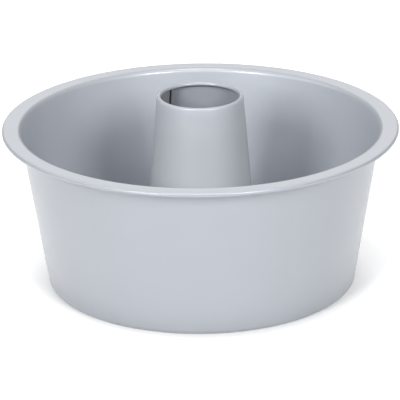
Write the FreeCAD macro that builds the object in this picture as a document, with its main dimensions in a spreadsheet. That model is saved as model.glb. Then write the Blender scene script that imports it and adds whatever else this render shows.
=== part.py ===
"""Chiffon cake pan: a drawn sheet pan with a flat rolled-edge rim round the mouth, and a
rolled conical tube that stands through the middle of its base, taller than the rim.

Millimetres and degrees, +Z up, origin on the floor under the middle of the pan.
Both pieces are bent sheet: their half sections are drawn run by run and turned about the axis.
Each bend is a few equal flats whose ends lie where a round bend would begin and end.
"""
import FreeCAD, Part
import math
import os
import Sketcher
from FreeCAD import Placement, Rotation, Vector

SIZES = (
    ("sheet", 0.8, "thickness of the sheet metal"),
    ("rim_height", 113.0, "floor to the top of the rim"),
    ("base_radius", 107.3, "outside of the wall, carried down to the floor"),
    ("wall_lean", 9.1, "outward lean of the wall from upright"),
    ("corner_bend", 4.1, "outside radius where the base turns into the wall"),
    ("rim_bend", 2.7, "outside radius where the wall turns into the rim"),
    ("rim_width", 12.1, "flat rim, from the wall carried up to its outer edge"),
    ("rim_curl", 1.5, "outside radius of the rolled rim edge"),
    ("ledge_rise", 2.0, "raised middle of the base, floor to its underside"),
    ("ledge_width", 10.0, "raised middle of the base, from the tube to the foot of its step"),
    ("ledge_slope", 45.0, "slope of the step round the raised middle"),
    ("collar_height", 7.0, "upturned edge of the base round the tube, above the underside"),
    ("collar_bend", 0.8, "inside radius at the foot of the collar"),
    ("collar_gap", 0.1, "clearance between the collar and the tube"),
    ("tube_foot_radius", 40.4, "outside of the tube at the underside of the base"),
    ("tube_lean", 4.45, "inward lean of the tube from upright"),
    ("tube_above_rim", 21.6, "top of the tube above the rim"),
    ("tube_curl", 1.6, "outside radius of the inward curled lip"),
    ("lip_drop", 0.3, "straight edge of the lip below its curl"),
    ("foot_width", 6.0, "outward flange of the tube under the base"),
    ("foot_bend", 1.2, "radius where the tube turns into that flange"),
    ("seam_azimuth", 115.0, "direction of the outer edge of the lap, from +X"),
    ("lap_angle", 20.0, "sweep of the doubled sheet of the lap"),
    ("lap_foot_gap", 3.0, "lap held back above the underside of the base"),
    ("lap_top_gap", 0.6, "lap held back below the edge of the lip"),
    ("seam_angle", 0.9, "sweep of the fine groove along the outer edge of the lap"),
    ("seam_depth", 0.3, "depth of that groove"),
    ("seam_end_gap", 1.0, "groove held back from the collar and from the lip"),
)

# Flats in each bend, more where the bend is long or wide
CORNER_FLAT_COUNT = 2
RIM_FLAT_COUNT = 2
RIM_CURL_FLAT_COUNT = 4
COLLAR_FLAT_COUNT = 1
FOOT_FLAT_COUNT = 1
TUBE_CURL_FLAT_COUNT = 4

# Angles, radii and heights that the pieces share, as formulas on the sheet of sizes
WALL_LEAN = "sizes.wall_lean * 1 deg"
TUBE_LEAN = "sizes.tube_lean * 1 deg"
COLLAR_RADIUS = "(sizes.collar_bend + sizes.sheet)"
COLLAR_FOOT = f"(sizes.tube_foot_radius + sizes.collar_gap / cos({TUBE_LEAN}))"
COLLAR_TOP = "(sizes.ledge_rise + sizes.collar_height)"
STEP_FOOT = "(sizes.tube_foot_radius + sizes.ledge_width)"
RIM_UNDER = "(sizes.rim_height - sizes.sheet)"
RIM_CURL_RADIUS = f"(sizes.base_radius + sizes.rim_height * tan({WALL_LEAN})" \
                  " + sizes.rim_width - sizes.rim_curl)"
TUBE_CURL_HEIGHT = "(sizes.rim_height + sizes.tube_above_rim - sizes.tube_curl)"

# Headings of a run in the section: 0 deg is outward, 90 deg is up
OUTWARD, INWARD, DOWN = "0 deg", "180 deg", "270 deg"
UP_WALL = f"(90 deg - {WALL_LEAN})"
UP_TUBE = f"(90 deg + {TUBE_LEAN})"
DOWN_TUBE = f"({TUBE_LEAN} - 90 deg)"
ALONG_AXES = {OUTWARD: "Horizontal", INWARD: "Horizontal", DOWN: "Vertical"}

# A sketch's number for its origin, and for the two ends of a line
ORIGIN = (-1, 1)
START, END = 1, 2


def make_sizes(doc):
    """Put every driving dimension in a spreadsheet, one row each: name, value, meaning."""
    sheet = doc.addObject("Spreadsheet::Sheet", "sizes")
    for row, (alias, value, meaning) in enumerate(SIZES, start=1):
        sheet.set(f"A{row}", alias)
        sheet.set(f"B{row}", str(value))
        sheet.set(f"C{row}", meaning)
        sheet.setAlias(f"B{row}", alias)
    doc.recompute()


def new_sketch(body, name, azimuth=None):
    """A sketch upright through the axis, X its radius and Y its height, turned to an azimuth."""
    sketch = body.newObject("Sketcher::SketchObject", name)
    plane = next(item for item in body.Origin.OriginFeatures if item.Role == "XZ_Plane")
    sketch.AttachmentSupport = [(plane, "")]
    sketch.MapMode = "FlatFace"
    if azimuth:
        sketch.AttachmentOffset = Placement(Vector(), Rotation(Vector(0, 1, 0), 1))
        sketch.setExpression("AttachmentOffset.Rotation.Angle", azimuth)
    return sketch


def reach(radius, turn):
    """Formula for the distance from the corner of a round bend to where the bend begins."""
    return f"({radius}) * tan(abs({turn}) / 2)"


def bend(heading, turn, radius, flats):
    """The runs of a bend from a heading through a turn, anticlockwise if positive."""
    chord = f"2 * ({radius}) * sin(abs({turn}) / {2 * flats})"
    steps = [(number + 0.5) / flats for number in range(flats)]
    return [(f"{heading} + ({turn}) * {step:.4f}", "length", chord) for step in steps]


def pan_runs():
    """The pan's outside: collar, raised middle, base, corner, wall, rim and rolled edge."""
    collar_turn, corner_turn, rim_turn = f"-{DOWN_TUBE}", UP_WALL, f"-{UP_WALL}"
    collar_end = f"sizes.ledge_rise + {reach(COLLAR_RADIUS, collar_turn)} * cos({TUBE_LEAN})"
    base_end = f"sizes.base_radius - {reach('sizes.corner_bend', corner_turn)}"
    wall_end = f"{RIM_UNDER} - {reach('sizes.rim_bend', rim_turn)} * cos({WALL_LEAN})"
    slope = "sizes.ledge_slope * 1 deg"
    return [
        (DOWN_TUBE, "height", collar_end),
        *bend(DOWN_TUBE, collar_turn, COLLAR_RADIUS, COLLAR_FLAT_COUNT),
        (OUTWARD, "radius", f"{STEP_FOOT} - sizes.ledge_rise / tan({slope})"),
        (f"-{slope}", "length", f"sizes.ledge_rise / sin({slope})"),
        (OUTWARD, "radius", base_end),
        *bend(OUTWARD, corner_turn, "sizes.corner_bend", CORNER_FLAT_COUNT),
        (UP_WALL, "height", wall_end),
        *bend(UP_WALL, rim_turn, "sizes.rim_bend", RIM_FLAT_COUNT),
        (OUTWARD, "radius", RIM_CURL_RADIUS),
        *bend(OUTWARD, "-270 deg", "sizes.rim_curl - sizes.sheet", RIM_CURL_FLAT_COUNT),
    ]


def tube_runs():
    """The tube's outside: foot flange under the base, cone, inward curled lip."""
    foot_turn, curl_turn = f"-(90 deg - {TUBE_LEAN})", f"(180 deg - {TUBE_LEAN})"
    return [
        (INWARD, "radius", f"sizes.tube_foot_radius + {reach('sizes.foot_bend', foot_turn)}"),
        *bend(INWARD, foot_turn, "sizes.foot_bend", FOOT_FLAT_COUNT),
        (UP_TUBE, "height", f"{TUBE_CURL_HEIGHT} + sizes.tube_curl * sin({TUBE_LEAN})"),
        *bend(UP_TUBE, curl_turn, "sizes.tube_curl", TUBE_CURL_FLAT_COUNT),
        (DOWN, "length", "sizes.lip_drop"),
    ]


class BentSheet:
    """A closed sketch outline of bent sheet: its face, its back to the left, two cut edges.

    Each run of the face is a heading and either a length or the radius or height it ends at.
    """

    def __init__(self, sketch, start, runs, thickness="sizes.sheet", start_cut="Horizontal"):
        self.sketch = sketch
        corners = self.face_corners(start, runs)
        backs = self.back_corners(corners, self.value(thickness))
        self.face = [self.line(one, two) for one, two in zip(corners, corners[1:])]
        self.back = [self.line(one, two) for one, two in zip(backs, backs[1:])]
        first = self.line(corners[0], backs[0])
        last = self.line(corners[-1], backs[-1])
        for chain in (self.face, self.back):
            for one, two in zip(chain, chain[1:]):
                self.tie("Coincident", one, END, two, START)
        for cut, number, end in ((first, 0, START), (last, -1, END)):
            self.tie("Coincident", cut, START, self.face[number], end)
            self.tie("Coincident", cut, END, self.back[number], end)
        self.tie(start_cut, first)
        self.tie("Horizontal", last)
        self.size("DistanceX", (*ORIGIN, self.face[0], START), start[0])
        self.size("DistanceY", (*ORIGIN, self.face[0], START), start[1])
        for face, back, run in zip(self.face, self.back, runs):
            self.size_run(face, *run)
            self.tie("Parallel", face, back)
            self.size("Distance", (face, START, back), thickness)

    def value(self, formula):
        """What a formula comes to, angles in degrees."""
        return float(self.sketch.evalExpression(formula))

    def face_corners(self, start, runs):
        """Where the runs of the face begin and end."""
        corners = [Vector(self.value(start[0]), self.value(start[1]))]
        for heading, kind, amount in runs:
            angle = math.radians(self.value(heading))
            way = Vector(math.cos(angle), math.sin(angle))
            length = self.value(amount)
            if kind == "radius":
                length = (length - corners[-1].x) / way.x
            elif kind == "height":
                length = (length - corners[-1].y) / way.y
            corners.append(corners[-1] + way * length)
        return corners

    def back_corners(self, corners, thickness):
        """The same corners on the back of the sheet, mitred."""
        lefts = []
        for one, two in zip(corners, corners[1:]):
            way = (two - one).normalize()
            lefts.append(Vector(-way.y, way.x))
        mitres = [(one + two) * (1 / (1 + one.dot(two))) for one, two in zip(lefts, lefts[1:])]
        sides = [lefts[0], *mitres, lefts[-1]]
        return [corner + side * thickness for corner, side in zip(corners, sides)]

    def line(self, one, two):
        """Draw a line and give its number."""
        return self.sketch.addGeometry(Part.LineSegment(one, two), False)

    def tie(self, kind, *items):
        """Add a geometric constraint."""
        self.sketch.addConstraint(Sketcher.Constraint(kind, *items))

    def size(self, kind, items, formula):
        """Add a dimension bound to a formula on the sheet of sizes."""
        value = self.value(formula)
        value = math.radians(value) if kind == "Angle" else value
        number = self.sketch.addConstraint(Sketcher.Constraint(kind, *items, value))
        self.sketch.setExpression(f"Constraints[{number}]", formula)

    def size_run(self, line, heading, kind, amount):
        """Fix a run's heading and its length, or the radius or height that it ends at."""
        if heading in ALONG_AXES:
            self.tie(ALONG_AXES[heading], line)
        else:
            self.size("Angle", (line,), heading)
        if kind == "length":
            self.size("Distance", (line,), amount)
        else:
            across = "DistanceX" if kind == "radius" else "DistanceY"
            self.size(across, (*ORIGIN, line, END), amount)


def tube_strip(sketch, low, high, depth, thickness):
    """A straight strip along the tube, from a depth below its outside and so much thicker."""
    radius = f"sizes.tube_foot_radius - (({low}) - sizes.ledge_rise) * tan({TUBE_LEAN})"
    start = (f"{radius} - ({depth}) / cos({TUBE_LEAN})", low)
    BentSheet(sketch, start, [(UP_TUBE, "height", high)], thickness)


def turn(body, kind, name, sketch, sweep=None):
    """Turn a sketch about the axis: all the way round, or evenly either side of itself."""
    feature = body.newObject(kind, name)
    feature.Profile = sketch
    feature.ReferenceAxis = (sketch, ["V_Axis"])
    feature.Angle = 360
    if sweep:
        feature.Midplane = True
        feature.setExpression("Angle", sweep)


def make_pan(doc):
    """The pan: one sheet from the collar round the tube out to the rolled rim."""
    body = doc.addObject("PartDesign::Body", "pan_shell")
    section = new_sketch(body, "pan_section")
    collar = f"{COLLAR_FOOT} - sizes.collar_height * tan({TUBE_LEAN})"
    BentSheet(section, (collar, COLLAR_TOP), pan_runs())
    turn(body, "PartDesign::Revolution", "pan_turned", section)
    return body


def make_tube(doc):
    """The tube: a rolled cone whose sheet laps over itself along one side, at the back."""
    body = doc.addObject("PartDesign::Body", "centre_tube")
    section = new_sketch(body, "tube_section")
    flange = ("sizes.tube_foot_radius + sizes.foot_width", "sizes.ledge_rise")
    BentSheet(section, flange, tube_runs(), start_cut="Vertical")
    turn(body, "PartDesign::Revolution", "tube_turned", section)

    lap = new_sketch(body, "lap_section", "(sizes.seam_azimuth + sizes.lap_angle / 2) * 1 deg")
    lap_top = f"{TUBE_CURL_HEIGHT} - sizes.lip_drop - sizes.lap_top_gap"
    tube_strip(lap, "sizes.ledge_rise + sizes.lap_foot_gap", lap_top,
               "sizes.sheet * 0.5", "sizes.sheet * 1.5")
    turn(body, "PartDesign::Revolution", "lap", lap, "sizes.lap_angle * 1 deg")

    seam = new_sketch(body, "seam_section", "sizes.seam_azimuth * 1 deg")
    tube_strip(seam, f"{COLLAR_TOP} + sizes.seam_end_gap",
               f"{TUBE_CURL_HEIGHT} - sizes.seam_end_gap",
               "sizes.seam_depth * -1", "sizes.seam_depth * 2")
    turn(body, "PartDesign::Groove", "seam", seam, "sizes.seam_angle * 1 deg")
    return body


def check(doc, bodies):
    """Stop if anything in the document failed or a piece is not one sound solid."""
    for item in doc.Objects:
        if {"Invalid", "Error"} & set(item.State):
            raise RuntimeError(f"{item.Label} failed: {item.State}")
        if item.TypeId == "Sketcher::SketchObject" and not item.FullyConstrained:
            raise RuntimeError(f"{item.Label} is not fully constrained")
    for body in bodies:
        shape = body.Shape
        if shape.isNull() or not shape.isValid() or len(shape.Solids) != 1:
            raise RuntimeError(f"{body.Label} is not one sound solid")


os.makedirs("parts", exist_ok=True)
doc = FreeCAD.newDocument("chiffon_cake_pan")
make_sizes(doc)
pieces = [make_pan(doc), make_tube(doc)]
doc.recompute()
check(doc, pieces)
for piece in pieces:
    piece.Shape.exportStep(os.path.join("parts", piece.Label + ".step"))
    print(piece.Label, "volume", round(piece.Shape.Volume), "mm3")
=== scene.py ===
"""Chiffon cake pan: satin metal skins over the pan and its tube, on a white studio floor.

Metres, +Z up, origin on the floor under the middle of the pan. The camera looks along +Y.
"""
import math
import bpy
import numpy as np
from mathutils import Matrix, Vector


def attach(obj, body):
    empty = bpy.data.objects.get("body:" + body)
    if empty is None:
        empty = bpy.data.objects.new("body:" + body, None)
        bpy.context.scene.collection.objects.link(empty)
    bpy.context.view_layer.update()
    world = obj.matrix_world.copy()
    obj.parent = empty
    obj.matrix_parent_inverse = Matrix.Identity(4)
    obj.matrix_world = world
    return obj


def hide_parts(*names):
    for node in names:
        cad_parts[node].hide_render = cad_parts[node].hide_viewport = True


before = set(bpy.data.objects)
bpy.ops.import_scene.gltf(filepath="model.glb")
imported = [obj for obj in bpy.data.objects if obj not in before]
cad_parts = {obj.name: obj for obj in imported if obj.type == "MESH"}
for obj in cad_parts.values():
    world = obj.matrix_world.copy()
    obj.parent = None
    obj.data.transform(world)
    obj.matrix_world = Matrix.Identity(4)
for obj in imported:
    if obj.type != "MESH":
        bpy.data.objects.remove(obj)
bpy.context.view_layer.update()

MM = 0.001
SHEET = 0.8 * MM

# The pan, as in its construction
RIM_HEIGHT = 113.0 * MM
BASE_RADIUS = 107.3 * MM
WALL_LEAN = math.radians(9.1)
CORNER_BEND = 4.1 * MM
RIM_BEND = 2.7 * MM
RIM_WIDTH = 12.1 * MM
RIM_CURL = 1.5 * MM
RIM_RADIUS = BASE_RADIUS + RIM_HEIGHT * math.tan(WALL_LEAN) + RIM_WIDTH
LEDGE_RISE = 2.0 * MM
LEDGE_WIDTH = 10.0 * MM
LEDGE_BEND = 0.6 * MM
COLLAR_HEIGHT = 7.0 * MM
COLLAR_BEND = 0.8 * MM
COLLAR_GAP = 0.1 * MM
COLLAR_TOP = LEDGE_RISE + COLLAR_HEIGHT

# The tube, as in its construction
TUBE_FOOT_RADIUS = 40.4 * MM
TUBE_LEAN = math.radians(4.45)
TUBE_TOP = RIM_HEIGHT + 21.6 * MM
TUBE_CURL = 1.6 * MM
LIP_DROP = 0.7 * MM  # 0.4 mm more than in the construction: the photograph's lip is deeper
FOOT_WIDTH = 6.0 * MM
FOOT_BEND = 1.2 * MM

# The lap of the tube's sheet, seen at the back left inside it; in the photograph it is half as
# wide as in the construction. LAP_RADIUS turns widths round the tube into angles.
LAP_RADIUS = 0.75 * TUBE_FOOT_RADIUS
LAP_START = math.radians(123.0)
LAP_END = math.radians(133.0)
JOGGLE = math.radians(4.0)
LAP_FOOT = LEDGE_RISE + 3.0 * MM
LAP_TOP = TUBE_TOP - TUBE_CURL - LIP_DROP - 0.3 * MM
CREVICE_DEPTH = 0.5 * MM
CREVICE_END = LAP_END + 1.3 * MM / LAP_RADIUS
GROOVE_DEPTH = 0.3 * MM
GROOVE_START = LAP_START - 0.25 * MM / LAP_RADIUS
GROOVE_END = LAP_START

# How finely the skins are divided; the two sides of a cut stand CUT apart, as an angle
PAN_STEPS = 384
TUBE_STEPS = 240
TUBE_PITCH = 1.5 * MM
TUBE_SHARP = math.radians(40)
JOGGLE_POINTS = 7
CUT = 0.02 * MM / LAP_RADIUS

# Painted shade on the tube: near black in the crevice and the groove, fainter on both sides of
# the crevice, and the painted shadow of the fold under its lip, where the shade rises, is full,
# fades and ends at so many curls below the top
LIP_RADIUS = TUBE_FOOT_RADIUS - (TUBE_TOP - LEDGE_RISE) * math.tan(TUBE_LEAN) - TUBE_CURL
FOLD_SHADE = 0.6
FOLD_CURLS = (3.0, 2.4, 1.3, 1.1)
CREVICE_SIDE_SHADE = 0.35
CREVICE_SIDE_WIDTH = math.radians(22.0)

# Painted shade: towards the lip, the tube's outside goes this far to the darker tone of its
# inside
LIP_SHADE = 0.6
LIP_SHADE_REACH = 20.0 * MM

# The finish of both sheets, as linear colours. The pan's outer face and the inside of the tube
# are darker as painted shade, and the tube's outside is a little lighter than the pan as painted
# light
PAN_TONE = (0.453, 0.478, 0.52)
PAN_OUTER_TONE = (0.302, 0.319, 0.349)
TUBE_TONE = (0.474, 0.497, 0.53)
BORE_TONE = (0.377, 0.403, 0.447)
# Near black, for the painted shade in the crevice, the groove and the fold under the lip
PAINTED_SHADE_TONE = (0.05, 0.05, 0.055)
PAN_METALLIC = 0.3
TUBE_METALLIC = 0.2
COAT_WEIGHT = 0.6
COAT_ROUGHNESS = 0.15
SATIN_ROUGHNESS = 0.5
CLOUD_SCALE = 26.0
CLOUD_TONE = 0.08
CLOUD_ROUGHNESS = 0.08
GRAIN_SCALE = 2600.0
GRAIN_ROUGHNESS = 0.04
GRAIN_RELIEF = 0.2 * MM
GRAIN_STRENGTH = 0.05

# The floor, with a soft shade close round the base, a little stronger in front of it
FLOOR_SIZE = 60.0
FLOOR_DROP = 0.05 * MM
FLOOR_TONE = 0.93
FLOOR_ROUGHNESS = 0.85
FLOOR_SPECULAR = 0.1
FIBRE_SCALE = 300.0
FIBRE_ROUGHNESS = 0.1
FLOOR_GLOW = 0.37
FAR_GLOW = 0.6
FAR_START = 1.8
FAR_END = 4.0
SHADE_CENTRE = (0.0, -5.0 * MM, 0.0)
SHADE_START = 104.0 * MM
SHADE_END = 124.0 * MM
SHADE_TONE = 0.72

# The photograph's camera
FOCAL_PIXELS = 3000
IMAGE_PIXELS = 400
SENSOR_MM = 36.0
CAMERA_DISTANCE = 2.0994
CAMERA_TILT = math.radians(20.676)
CAMERA_ROLL = math.radians(-0.634)
CAMERA_AIM = Vector((-0.8 * MM, 0.0, 56.9 * MM))
CAMERA_REACH = 50.0

# The soft boxes: azimuth and height angle in degrees, width in metres, watts. The shadows that
# the tube throws on the wall behind it place the two keys.
LIGHT_AIM = Vector((0.0, 0.0, 0.1))
LIGHT_DISTANCE = 4.5
SOFT_BOXES = {
    "left_key": (236.5, 26.5, 1.3, 129.0),
    "right_key": (299.0, 28.0, 1.3, 114.0),
    "side_box": (180.0, 35.0, 2.4, 20.0),
    "top_box": (270.0, 84.0, 1.4, 58.0),
    "back_box": (90.0, 28.0, 2.4, 22.5),
}
WORLD_STRENGTH = 0.276


# Shapes

def bent(corners, bends, step=math.radians(7.5), pitch=9.0 * MM):
    """One face of a bent sheet, as points and their left-hand normals.

    The run goes straight between the corners; at each bend an arc of the given radius takes
    the corner's place, tangent to both runs. Points lie `step` apart along an arc and about
    `pitch` apart along a straight run.
    """
    corners = np.asarray(corners, float)
    ways = np.diff(corners, axis=0)
    ways /= np.linalg.norm(ways, axis=1)[:, None]
    lefts = np.column_stack((-ways[:, 1], ways[:, 0]))
    points, normals, start = [], [], corners[0]
    for corner, way, left, onward, bend in zip(corners[1:], ways, lefts, ways[1:], bends):
        turn = math.atan2(way[0] * onward[1] - way[1] * onward[0], way @ onward)
        reach = bend * math.tan(abs(turn) / 2)
        centre = corner - way * reach + left * math.copysign(bend, turn)
        angles = np.linspace(0.0, turn, 2 + int(abs(turn) / step))[:, None]
        arc_left = left * np.cos(angles) - way * np.sin(angles)
        straight = run(start, corner - way * reach, pitch)[:-1]
        points += [straight, centre - arc_left * math.copysign(bend, turn)]
        normals += [np.tile(left, (len(straight), 1)), arc_left]
        start = corner + onward * reach
    straight = run(start, corners[-1], pitch)[1:]
    points.append(straight)
    normals.append(np.tile(lefts[-1], (len(straight), 1)))
    return np.vstack(points), np.vstack(normals)


def run(start, end, pitch):
    """Points from start to end, both counted, spaced at most `pitch` apart."""
    length = np.linalg.norm(end - start)
    return start + np.linspace(0.0, 1.0, 2 + int(length / pitch))[:, None] * (end - start)


def curl(centre, radius, first, last, step=math.radians(10)):
    """An arc about a centre, as points and the normals that point to its centre's side."""
    angles = np.linspace(first, last, 2 + int(abs(last - first) / step))[:, None]
    spoke = np.hstack((np.cos(angles), np.sin(angles)))
    side = -1.0 if last > first else 1.0
    return centre + spoke * radius, spoke * side


def closed_section(points, normals, thickness=SHEET):
    """The sheet's closed outline: one face out and the other, a thickness to its left, back."""
    return np.vstack((points, (points + normals * thickness)[::-1]))


def pan_section():
    """Half section of the pan, from the collar round the tube out to the rolled rim edge.

    Also gives the number of points, counted from the first, that lie on its outer face.
    """
    collar_foot = TUBE_FOOT_RADIUS + COLLAR_GAP
    step_foot = TUBE_FOOT_RADIUS + LEDGE_WIDTH
    rim_under = RIM_HEIGHT - SHEET
    curl_radius = RIM_RADIUS - RIM_CURL
    corners = (
        (collar_foot - COLLAR_HEIGHT * math.tan(TUBE_LEAN), LEDGE_RISE + COLLAR_HEIGHT),
        (collar_foot, LEDGE_RISE),
        (step_foot - LEDGE_RISE, LEDGE_RISE),
        (step_foot, 0.0),
        (BASE_RADIUS, 0.0),
        (BASE_RADIUS + rim_under * math.tan(WALL_LEAN), rim_under),
        (curl_radius, rim_under),
    )
    bends = (COLLAR_BEND + SHEET, LEDGE_BEND, LEDGE_BEND + SHEET, CORNER_BEND, RIM_BEND)
    points, normals = bent(corners, bends)
    centre = np.array((curl_radius, RIM_HEIGHT - RIM_CURL))
    rolled, rolled_normals = curl(centre, RIM_CURL - SHEET, math.pi / 2, -math.pi)
    normals = np.vstack((normals, rolled_normals[1:]))
    return closed_section(np.vstack((points, rolled[1:])), normals), len(points)


def tube_section():
    """Half section of the tube: foot flange, cone and inward curled lip.

    Also gives the number of points, counted from the first, that lie on its outer face.
    """
    along = np.array((-math.sin(TUBE_LEAN), math.cos(TUBE_LEAN)))
    outward = np.array((math.cos(TUBE_LEAN), math.sin(TUBE_LEAN)))
    foot = np.array((TUBE_FOOT_RADIUS, LEDGE_RISE))
    curl_height = TUBE_TOP - TUBE_CURL
    top = foot + along * (curl_height + TUBE_CURL * math.sin(TUBE_LEAN) - LEDGE_RISE) / along[1]
    centre = top - outward * TUBE_CURL
    corners = (foot + (FOOT_WIDTH, 0.0), foot, top)
    points, normals = bent(corners, (FOOT_BEND,), pitch=TUBE_PITCH)
    lip, lip_normals = curl(centre, TUBE_CURL, TUBE_LEAN, math.pi)
    edge = lip[-1] - (0.0, LIP_DROP)
    points = np.vstack((points, lip[1:], edge))
    normals = np.vstack((normals, lip_normals[1:], lip_normals[-1]))
    return closed_section(points, normals), len(points)


def turned(section, angles):
    """Points of a section (n, 2) turned to each angle: x = r cos a, y = r sin a, z = h.

    A section of shape (angles, n, 2) may differ from angle to angle.
    """
    section = np.broadcast_to(section, (len(angles), *section.shape[-2:]))
    radius, height = section[..., 0], section[..., 1]
    across, deep = np.cos(angles)[:, None], np.sin(angles)[:, None]
    return np.stack((radius * across, radius * deep, height), axis=-1)


def closed_grid(name, points, sharp=math.radians(50)):
    """A mesh from a grid of points that closes on itself both ways, faces outward."""
    around, along = points.shape[:2]
    number = np.arange(around * along).reshape(around, along)
    onward = np.roll(number, -1, axis=0)
    sides = (number, onward, np.roll(onward, -1, axis=1), np.roll(number, -1, axis=1))
    quads = np.stack(sides, axis=-1).reshape(-1, 4).astype(np.int32)
    mesh = bpy.data.meshes.new(name)
    mesh.vertices.add(around * along)
    mesh.vertices.foreach_set("co", points.reshape(-1).astype(np.float32))
    mesh.loops.add(quads.size)
    mesh.loops.foreach_set("vertex_index", quads.reshape(-1))
    mesh.polygons.add(len(quads))
    mesh.polygons.foreach_set("loop_start", np.arange(0, quads.size, 4, dtype=np.int32))
    mesh.polygons.foreach_set("use_smooth", np.ones(len(quads), bool))
    mesh.update(calc_edges=True)
    mesh.validate()
    mesh.set_sharp_from_angle(angle=sharp)
    piece = bpy.data.objects.new(name, mesh)
    bpy.context.scene.collection.objects.link(piece)
    return piece


def mark(piece, name, values):
    """Give each point of a piece a value that its material can read."""
    attribute = piece.data.attributes.new(name, "FLOAT", "POINT")
    attribute.data.foreach_set("value", values.reshape(-1).astype(np.float32))


def smooth_step(value, low, high):
    """0 below low, 1 above high, and 3t^2 - 2t^3 between them."""
    part = np.clip((value - low) / (high - low), 0.0, 1.0)
    return part * part * (3.0 - 2.0 * part)


def make_pan():
    """The pan's skin: its section turned about the axis.

    "outer" is 1 on the outer face and fades to 0 up the front of the rolled edge. Where it is
    above 0 it mixes in the darker tone that paints shade on the outer face and the roll's front.
    """
    section, face_count = pan_section()
    angles = np.linspace(0.0, math.tau, PAN_STEPS, endpoint=False)
    pan = closed_grid("pan_skin", turned(section, angles))
    radius, height = section.T
    fade_low, fade_high = RIM_HEIGHT - 0.7 * RIM_CURL, RIM_HEIGHT - 0.1 * RIM_CURL
    low_on_roll = 1 - smooth_step(height, fade_low, fade_high)
    outer = np.where(radius > RIM_RADIUS - 2 * RIM_CURL, low_on_roll, 0.0)
    outer[:face_count] = 1.0
    mark(pan, "outer", np.tile(outer, (len(angles), 1)))
    return pan


def tube_angles():
    """Angles evenly round the tube, with more at the joggle and on both sides of each cut."""
    even = np.linspace(0.0, math.tau, TUBE_STEPS, endpoint=False)
    joggle = np.linspace(LAP_START - JOGGLE, LAP_START, JOGGLE_POINTS)
    groove = (GROOVE_START - CUT, GROOVE_START, GROOVE_END, GROOVE_END + CUT)
    crevice = (LAP_END - CUT, LAP_END, LAP_END + CUT, CREVICE_END - CUT, CREVICE_END)
    return np.unique(np.concatenate((even, joggle, groove, crevice)))


def fold_shade(section, inner):
    """How dark each point of the tube's section is in the painted shadow of the fold under the
    lip.

    It is FOLD_SHADE between two heights on the faces that look inward, and fades to 0 above
    and below them by smooth steps.
    """
    radius, height = section.T
    facing_in = inner | (radius < LIP_RADIUS - 0.7 * TUBE_CURL)
    rise, full, fade, end = (TUBE_TOP - curls * TUBE_CURL for curls in FOLD_CURLS)
    shade = smooth_step(height, rise, full) * (1 - smooth_step(height, fade, end))
    return facing_in * FOLD_SHADE * shade


def make_tube():
    """The tube's skin, with the inner end of its sheet lapped over the outer end.

    Inside, the sheet steps inward by its own thickness over the joggle, stays there across
    the lap and drops back at the cut edge, which stands over a narrow crevice. The outer end
    of the sheet leaves a fine groove outside at the start of the lap. Each of these is an
    offset of the radius: a share round the tube times a share up the section. One mark paints
    shade: near black in the crevice and the groove, a painted shadow in the fold under the lip
    and, faintly, painted shade on both sides of the crevice. "outer" is 1 on the outer face
    and falls towards the lip, where the darker tone of the inside paints shade on the outside.
    """
    section, face_count = tube_section()
    angles = tube_angles()
    height = section[:, 1]
    inner = np.arange(len(section)) >= face_count

    on_lap = inner * smooth_step(height, LAP_FOOT - MM, LAP_FOOT)
    on_lap *= 1 - smooth_step(height, LAP_TOP, LAP_TOP + 0.2 * MM)
    outside = ~inner * smooth_step(height, COLLAR_TOP, COLLAR_TOP + MM)
    outside *= 1 - smooth_step(height, TUBE_TOP - TUBE_CURL - MM, TUBE_TOP - TUBE_CURL)
    lift = smooth_step(angles, LAP_START - JOGGLE, LAP_START) * (angles <= LAP_END)
    sunk = (angles > LAP_END) & (angles < CREVICE_END)
    in_groove = (angles >= GROOVE_START) & (angles <= GROOVE_END)

    sections = np.broadcast_to(section, (len(angles), *section.shape)).copy()
    sections[..., 0] -= np.outer(lift * SHEET - sunk * CREVICE_DEPTH, on_lap)
    sections[..., 0] -= np.outer(in_groove * GROOVE_DEPTH, outside)
    tube = closed_grid("tube_skin", turned(sections, angles), sharp=TUBE_SHARP)

    # Painted shade: faint on both sides of the crevice, near black in the crevice and the groove
    crevice_side = smooth_step(angles, LAP_END - CREVICE_SIDE_WIDTH, LAP_END - CREVICE_SIDE_WIDTH / 4)
    crevice_side *= 1 - smooth_step(angles, CREVICE_END + CREVICE_SIDE_WIDTH, CREVICE_END + 2 * CREVICE_SIDE_WIDTH)
    painted_shade = np.outer(sunk, on_lap) + np.outer(in_groove, outside)
    painted_shade = np.maximum(painted_shade, np.outer(crevice_side * CREVICE_SIDE_SHADE, on_lap))
    mark(tube, "painted_shade", np.maximum(painted_shade, fold_shade(section, inner)))

    # Painted shade: the tube's outside darkens towards the lip
    towards_lip = smooth_step(height, TUBE_TOP - LIP_SHADE_REACH, TUBE_TOP - 2 * TUBE_CURL)
    outer = np.where(inner, 0.0, 1 - LIP_SHADE * towards_lip)
    mark(tube, "outer", np.tile(outer, (len(angles), 1)))
    return tube


# Materials

class Socket:
    """A shader value that Python expressions can add to and scale."""

    def __init__(self, shader, socket):
        self.shader, self.socket = shader, socket

    def maths(self, operation, other):
        return self.shader.node("ShaderNodeMath", {"operation": operation}, {0: self, 1: other})

    def __add__(self, other):
        return self.maths("ADD", other)

    def __mul__(self, other):
        return self.maths("MULTIPLY", other)

    __radd__ = __add__
    __rmul__ = __mul__


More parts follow.
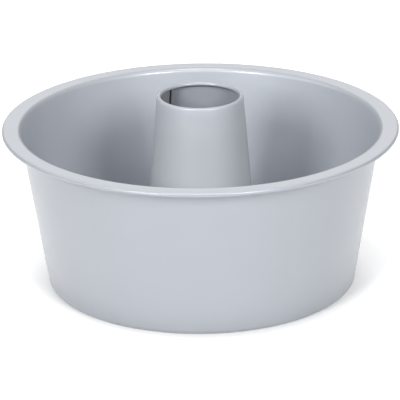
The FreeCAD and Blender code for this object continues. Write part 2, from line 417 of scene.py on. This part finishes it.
class Shader:
    """A material's nodes."""

    def __init__(self, name):
        self.material = bpy.data.materials.new(name)
        self.material.use_nodes = True
        self.tree = self.material.node_tree
        self.surface = self.tree.nodes["Principled BSDF"]

    def node(self, kind, settings=(), inputs=(), output=0):
        """Add a node: settings first, then its sockets' values or links."""
        made = self.tree.nodes.new(kind)
        for name, value in dict(settings).items():
            setattr(made, name, value)
        for name, value in dict(inputs).items():
            self.feed(made.inputs[name], value)
        return Socket(self, made.outputs[output])

    def feed(self, target, value):
        value = value.socket if isinstance(value, Socket) else value
        if isinstance(value, bpy.types.NodeSocket):
            self.tree.links.new(value, target)
        else:
            target.default_value = value

    def place(self):
        return self.node("ShaderNodeTexCoord", output="Object")

    def attribute(self, name):
        """A value that mark gave to the piece."""
        return self.node("ShaderNodeAttribute", {"attribute_name": name}, output=2)

    def noise(self, place, scale, detail):
        inputs = {"Vector": place, "Scale": scale, "Detail": detail}
        return self.node("ShaderNodeTexNoise", {}, inputs)

    def slope(self, value, low, high, at_low, at_high):
        """From at_low to at_high in a straight line between low and high, and level beyond."""
        inputs = {"Value": value, "From Min": low, "From Max": high}
        inputs.update({"To Min": at_low, "To Max": at_high})
        return self.node("ShaderNodeMapRange", {}, inputs)

    def mix(self, part, low, high, blend="MIX"):
        """A colour between two, which are sockets or (r, g, b)."""
        ends = [end if isinstance(end, Socket) else (*end, 1.0) for end in (low, high)]
        settings = {"data_type": "RGBA", "blend_type": blend}
        return self.node("ShaderNodeMix", settings, {0: part, 6: ends[0], 7: ends[1]}, output=2)

    def grey(self, value):
        channels = dict.fromkeys(("Red", "Green", "Blue"), value)
        return self.node("ShaderNodeCombineColor", {}, channels)

    def varies(self, name, value):
        """Feed what changes over the surface to one of its sockets."""
        self.feed(self.surface.inputs[name], value)

    def stays(self, name, value):
        """Set what is the same all over the surface on its own socket."""
        self.surface.inputs[name].default_value = value


def satin_metal(name, metallic, tone, outer_tone):
    """Satin coated sheet metal: a cloudy tone, fine grain and a little more gloss in places."""
    shader = Shader(name)
    place = shader.place()
    cloud = shader.noise(place, CLOUD_SCALE, detail=4.0)
    grain = shader.noise(place, GRAIN_SCALE, detail=2.0)
    # A darker tone on some faces as painted shade, and on the tube's outside a lighter one as
    # painted light
    colour = shader.mix(shader.attribute("outer"), tone, outer_tone)
    # Painted shade, near black, where the tube's shade mark asks for it
    colour = shader.mix(shader.attribute("painted_shade"), colour, PAINTED_SHADE_TONE)
    clouded = shader.grey(cloud * CLOUD_TONE + (1 - CLOUD_TONE / 2))
    roughness = cloud * CLOUD_ROUGHNESS + grain * GRAIN_ROUGHNESS
    roughness += SATIN_ROUGHNESS - (CLOUD_ROUGHNESS + GRAIN_ROUGHNESS) / 2
    relief = {"Strength": GRAIN_STRENGTH, "Distance": GRAIN_RELIEF, "Height": grain}
    shader.varies("Base Color", shader.mix(1.0, colour, clouded, "MULTIPLY"))
    shader.varies("Roughness", roughness)
    shader.varies("Normal", shader.node("ShaderNodeBump", {}, relief))
    shader.stays("Metallic", metallic)
    shader.stays("Coat Weight", COAT_WEIGHT)
    shader.stays("Coat Roughness", COAT_ROUGHNESS)
    return shader.material


def white_paper():
    """White studio paper that glows a little, with a soft shade close round the base.

    It glows more far away, where the lights don't reach, so that it stays white in low views.
    """
    shader = Shader("floor_paper")
    place = shader.place()
    fibre = shader.noise(place, FIBRE_SCALE, detail=3.0)
    measure = {"operation": "DISTANCE"}
    distance = shader.node("ShaderNodeVectorMath", measure, {0: place, 1: SHADE_CENTRE}, output=1)
    light = shader.slope(distance, SHADE_START, SHADE_END, SHADE_TONE, 1.0)
    far = shader.slope(distance, FAR_START, FAR_END, 0.0, FAR_GLOW)
    shader.varies("Roughness", fibre * FIBRE_ROUGHNESS + FLOOR_ROUGHNESS)
    shader.varies("Base Color", shader.grey(light * FLOOR_TONE))
    shader.varies("Emission Color", shader.grey(light * FLOOR_GLOW + far))
    shader.stays("Emission Strength", 1.0)
    shader.stays("Specular IOR Level", FLOOR_SPECULAR)
    return shader.material


# Studio

def make_floor():
    """A square of paper, a hair below the base so that the two don't lie in one plane."""
    half = FLOOR_SIZE / 2
    mesh = bpy.data.meshes.new("studio_floor")
    corners = [(-half, -half, 0.0), (half, -half, 0.0), (half, half, 0.0), (-half, half, 0.0)]
    mesh.from_pydata(corners, [], [(0, 1, 2, 3)])
    floor = bpy.data.objects.new("studio_floor", mesh)
    floor.location.z = -FLOOR_DROP
    bpy.context.scene.collection.objects.link(floor)
    mesh.materials.append(white_paper())


def make_light(name, azimuth, rise, width, watts):
    """A square soft box aimed at the pan from an azimuth and a height angle, both in degrees."""
    turn, climb = math.radians(azimuth), math.radians(rise)
    level = math.cos(climb)
    way = Vector((level * math.cos(turn), level * math.sin(turn), math.sin(climb)))
    lamp = bpy.data.lights.new(name, "AREA")
    lamp.shape = "SQUARE"
    lamp.size = width
    lamp.energy = watts
    light = bpy.data.objects.new(name, lamp)
    light.location = LIGHT_AIM + way * LIGHT_DISTANCE
    light.rotation_euler = (-way).to_track_quat("-Z", "Y").to_euler()
    bpy.context.scene.collection.objects.link(light)


def make_camera():
    """The photograph's camera: a long lens, looking along +Y and down at the pan.

    Its matrix has the way across, the way up and the way back as columns, then the roll.
    """
    data = bpy.data.cameras.new("photo_camera")
    data.sensor_width = SENSOR_MM
    data.lens = SENSOR_MM * FOCAL_PIXELS / IMAGE_PIXELS
    data.clip_end = CAMERA_REACH
    camera = bpy.data.objects.new("photo_camera", data)
    forward = Vector((0.0, math.cos(CAMERA_TILT), -math.sin(CAMERA_TILT)))
    upright = Vector((0.0, math.sin(CAMERA_TILT), math.cos(CAMERA_TILT)))
    look = Matrix((Vector((1.0, 0.0, 0.0)), upright, -forward)).transposed().to_4x4()
    place = Matrix.Translation(CAMERA_AIM - forward * CAMERA_DISTANCE)
    camera.matrix_world = place @ look @ Matrix.Rotation(CAMERA_ROLL, 4, "Z")
    bpy.context.scene.collection.objects.link(camera)
    bpy.context.scene.camera = camera


def make_world():
    """Even white surroundings."""
    world = bpy.data.worlds.new("studio")
    world.use_nodes = True
    background = world.node_tree.nodes["Background"]
    background.inputs["Color"].default_value = (1.0, 1.0, 1.0, 1.0)
    background.inputs["Strength"].default_value = WORLD_STRENGTH
    bpy.context.scene.world = world


pan = make_pan()
pan.data.materials.append(satin_metal("pan_satin", PAN_METALLIC, PAN_TONE, PAN_OUTER_TONE))
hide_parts("pan_shell")
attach(pan, "root")

tube = make_tube()
tube.data.materials.append(satin_metal("tube_satin", TUBE_METALLIC, BORE_TONE, TUBE_TONE))
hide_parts("centre_tube")
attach(tube, "root")

make_floor()
make_world()
for box, settings in SOFT_BOXES.items():
    make_light(box, *settings)
make_camera()
bpy.context.scene.view_settings.view_transform = "Standard"
